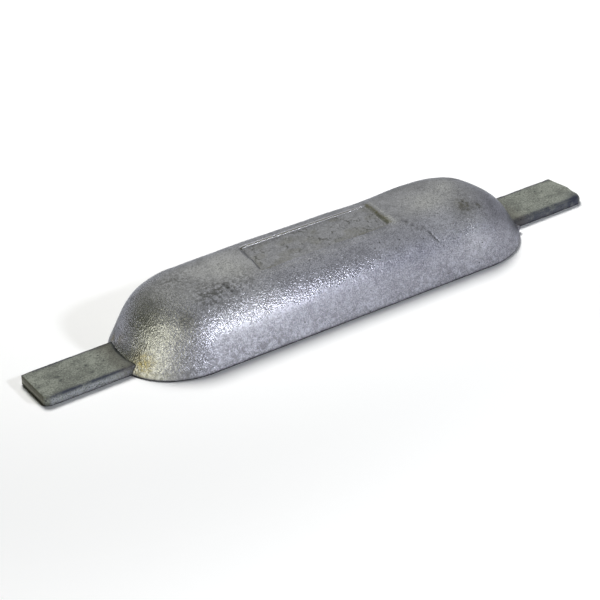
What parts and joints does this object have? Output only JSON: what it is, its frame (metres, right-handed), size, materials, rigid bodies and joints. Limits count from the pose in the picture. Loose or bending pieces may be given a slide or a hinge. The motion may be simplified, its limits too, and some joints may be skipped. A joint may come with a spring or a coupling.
{
  "type": "sacrificial anode",
  "caption": "Weld-on hull anode: a loaf-shaped zinc casting with a flat back and a shallow panel in its crown, on a flat steel strap whose bare ends are welded down.",
  "frame": {"origin": "on the flat back, under the middle of the anode", "axes": "+X along the strap, +Z out of the hull through the crown"},
  "size_m": [0.33, 0.071, 0.032],
  "materials": {
    "cast_zinc": "raw sand-grained zinc casting, dull grey with a sparkling rippled skin",
    "strap_steel": "hot-rolled bar with mill scale, dull dark grey green"
  },
  "bodies": {
    "root": {"anode_body": "cast_zinc", "steel_strap": "strap_steel"}
  },
  "joints": []
}
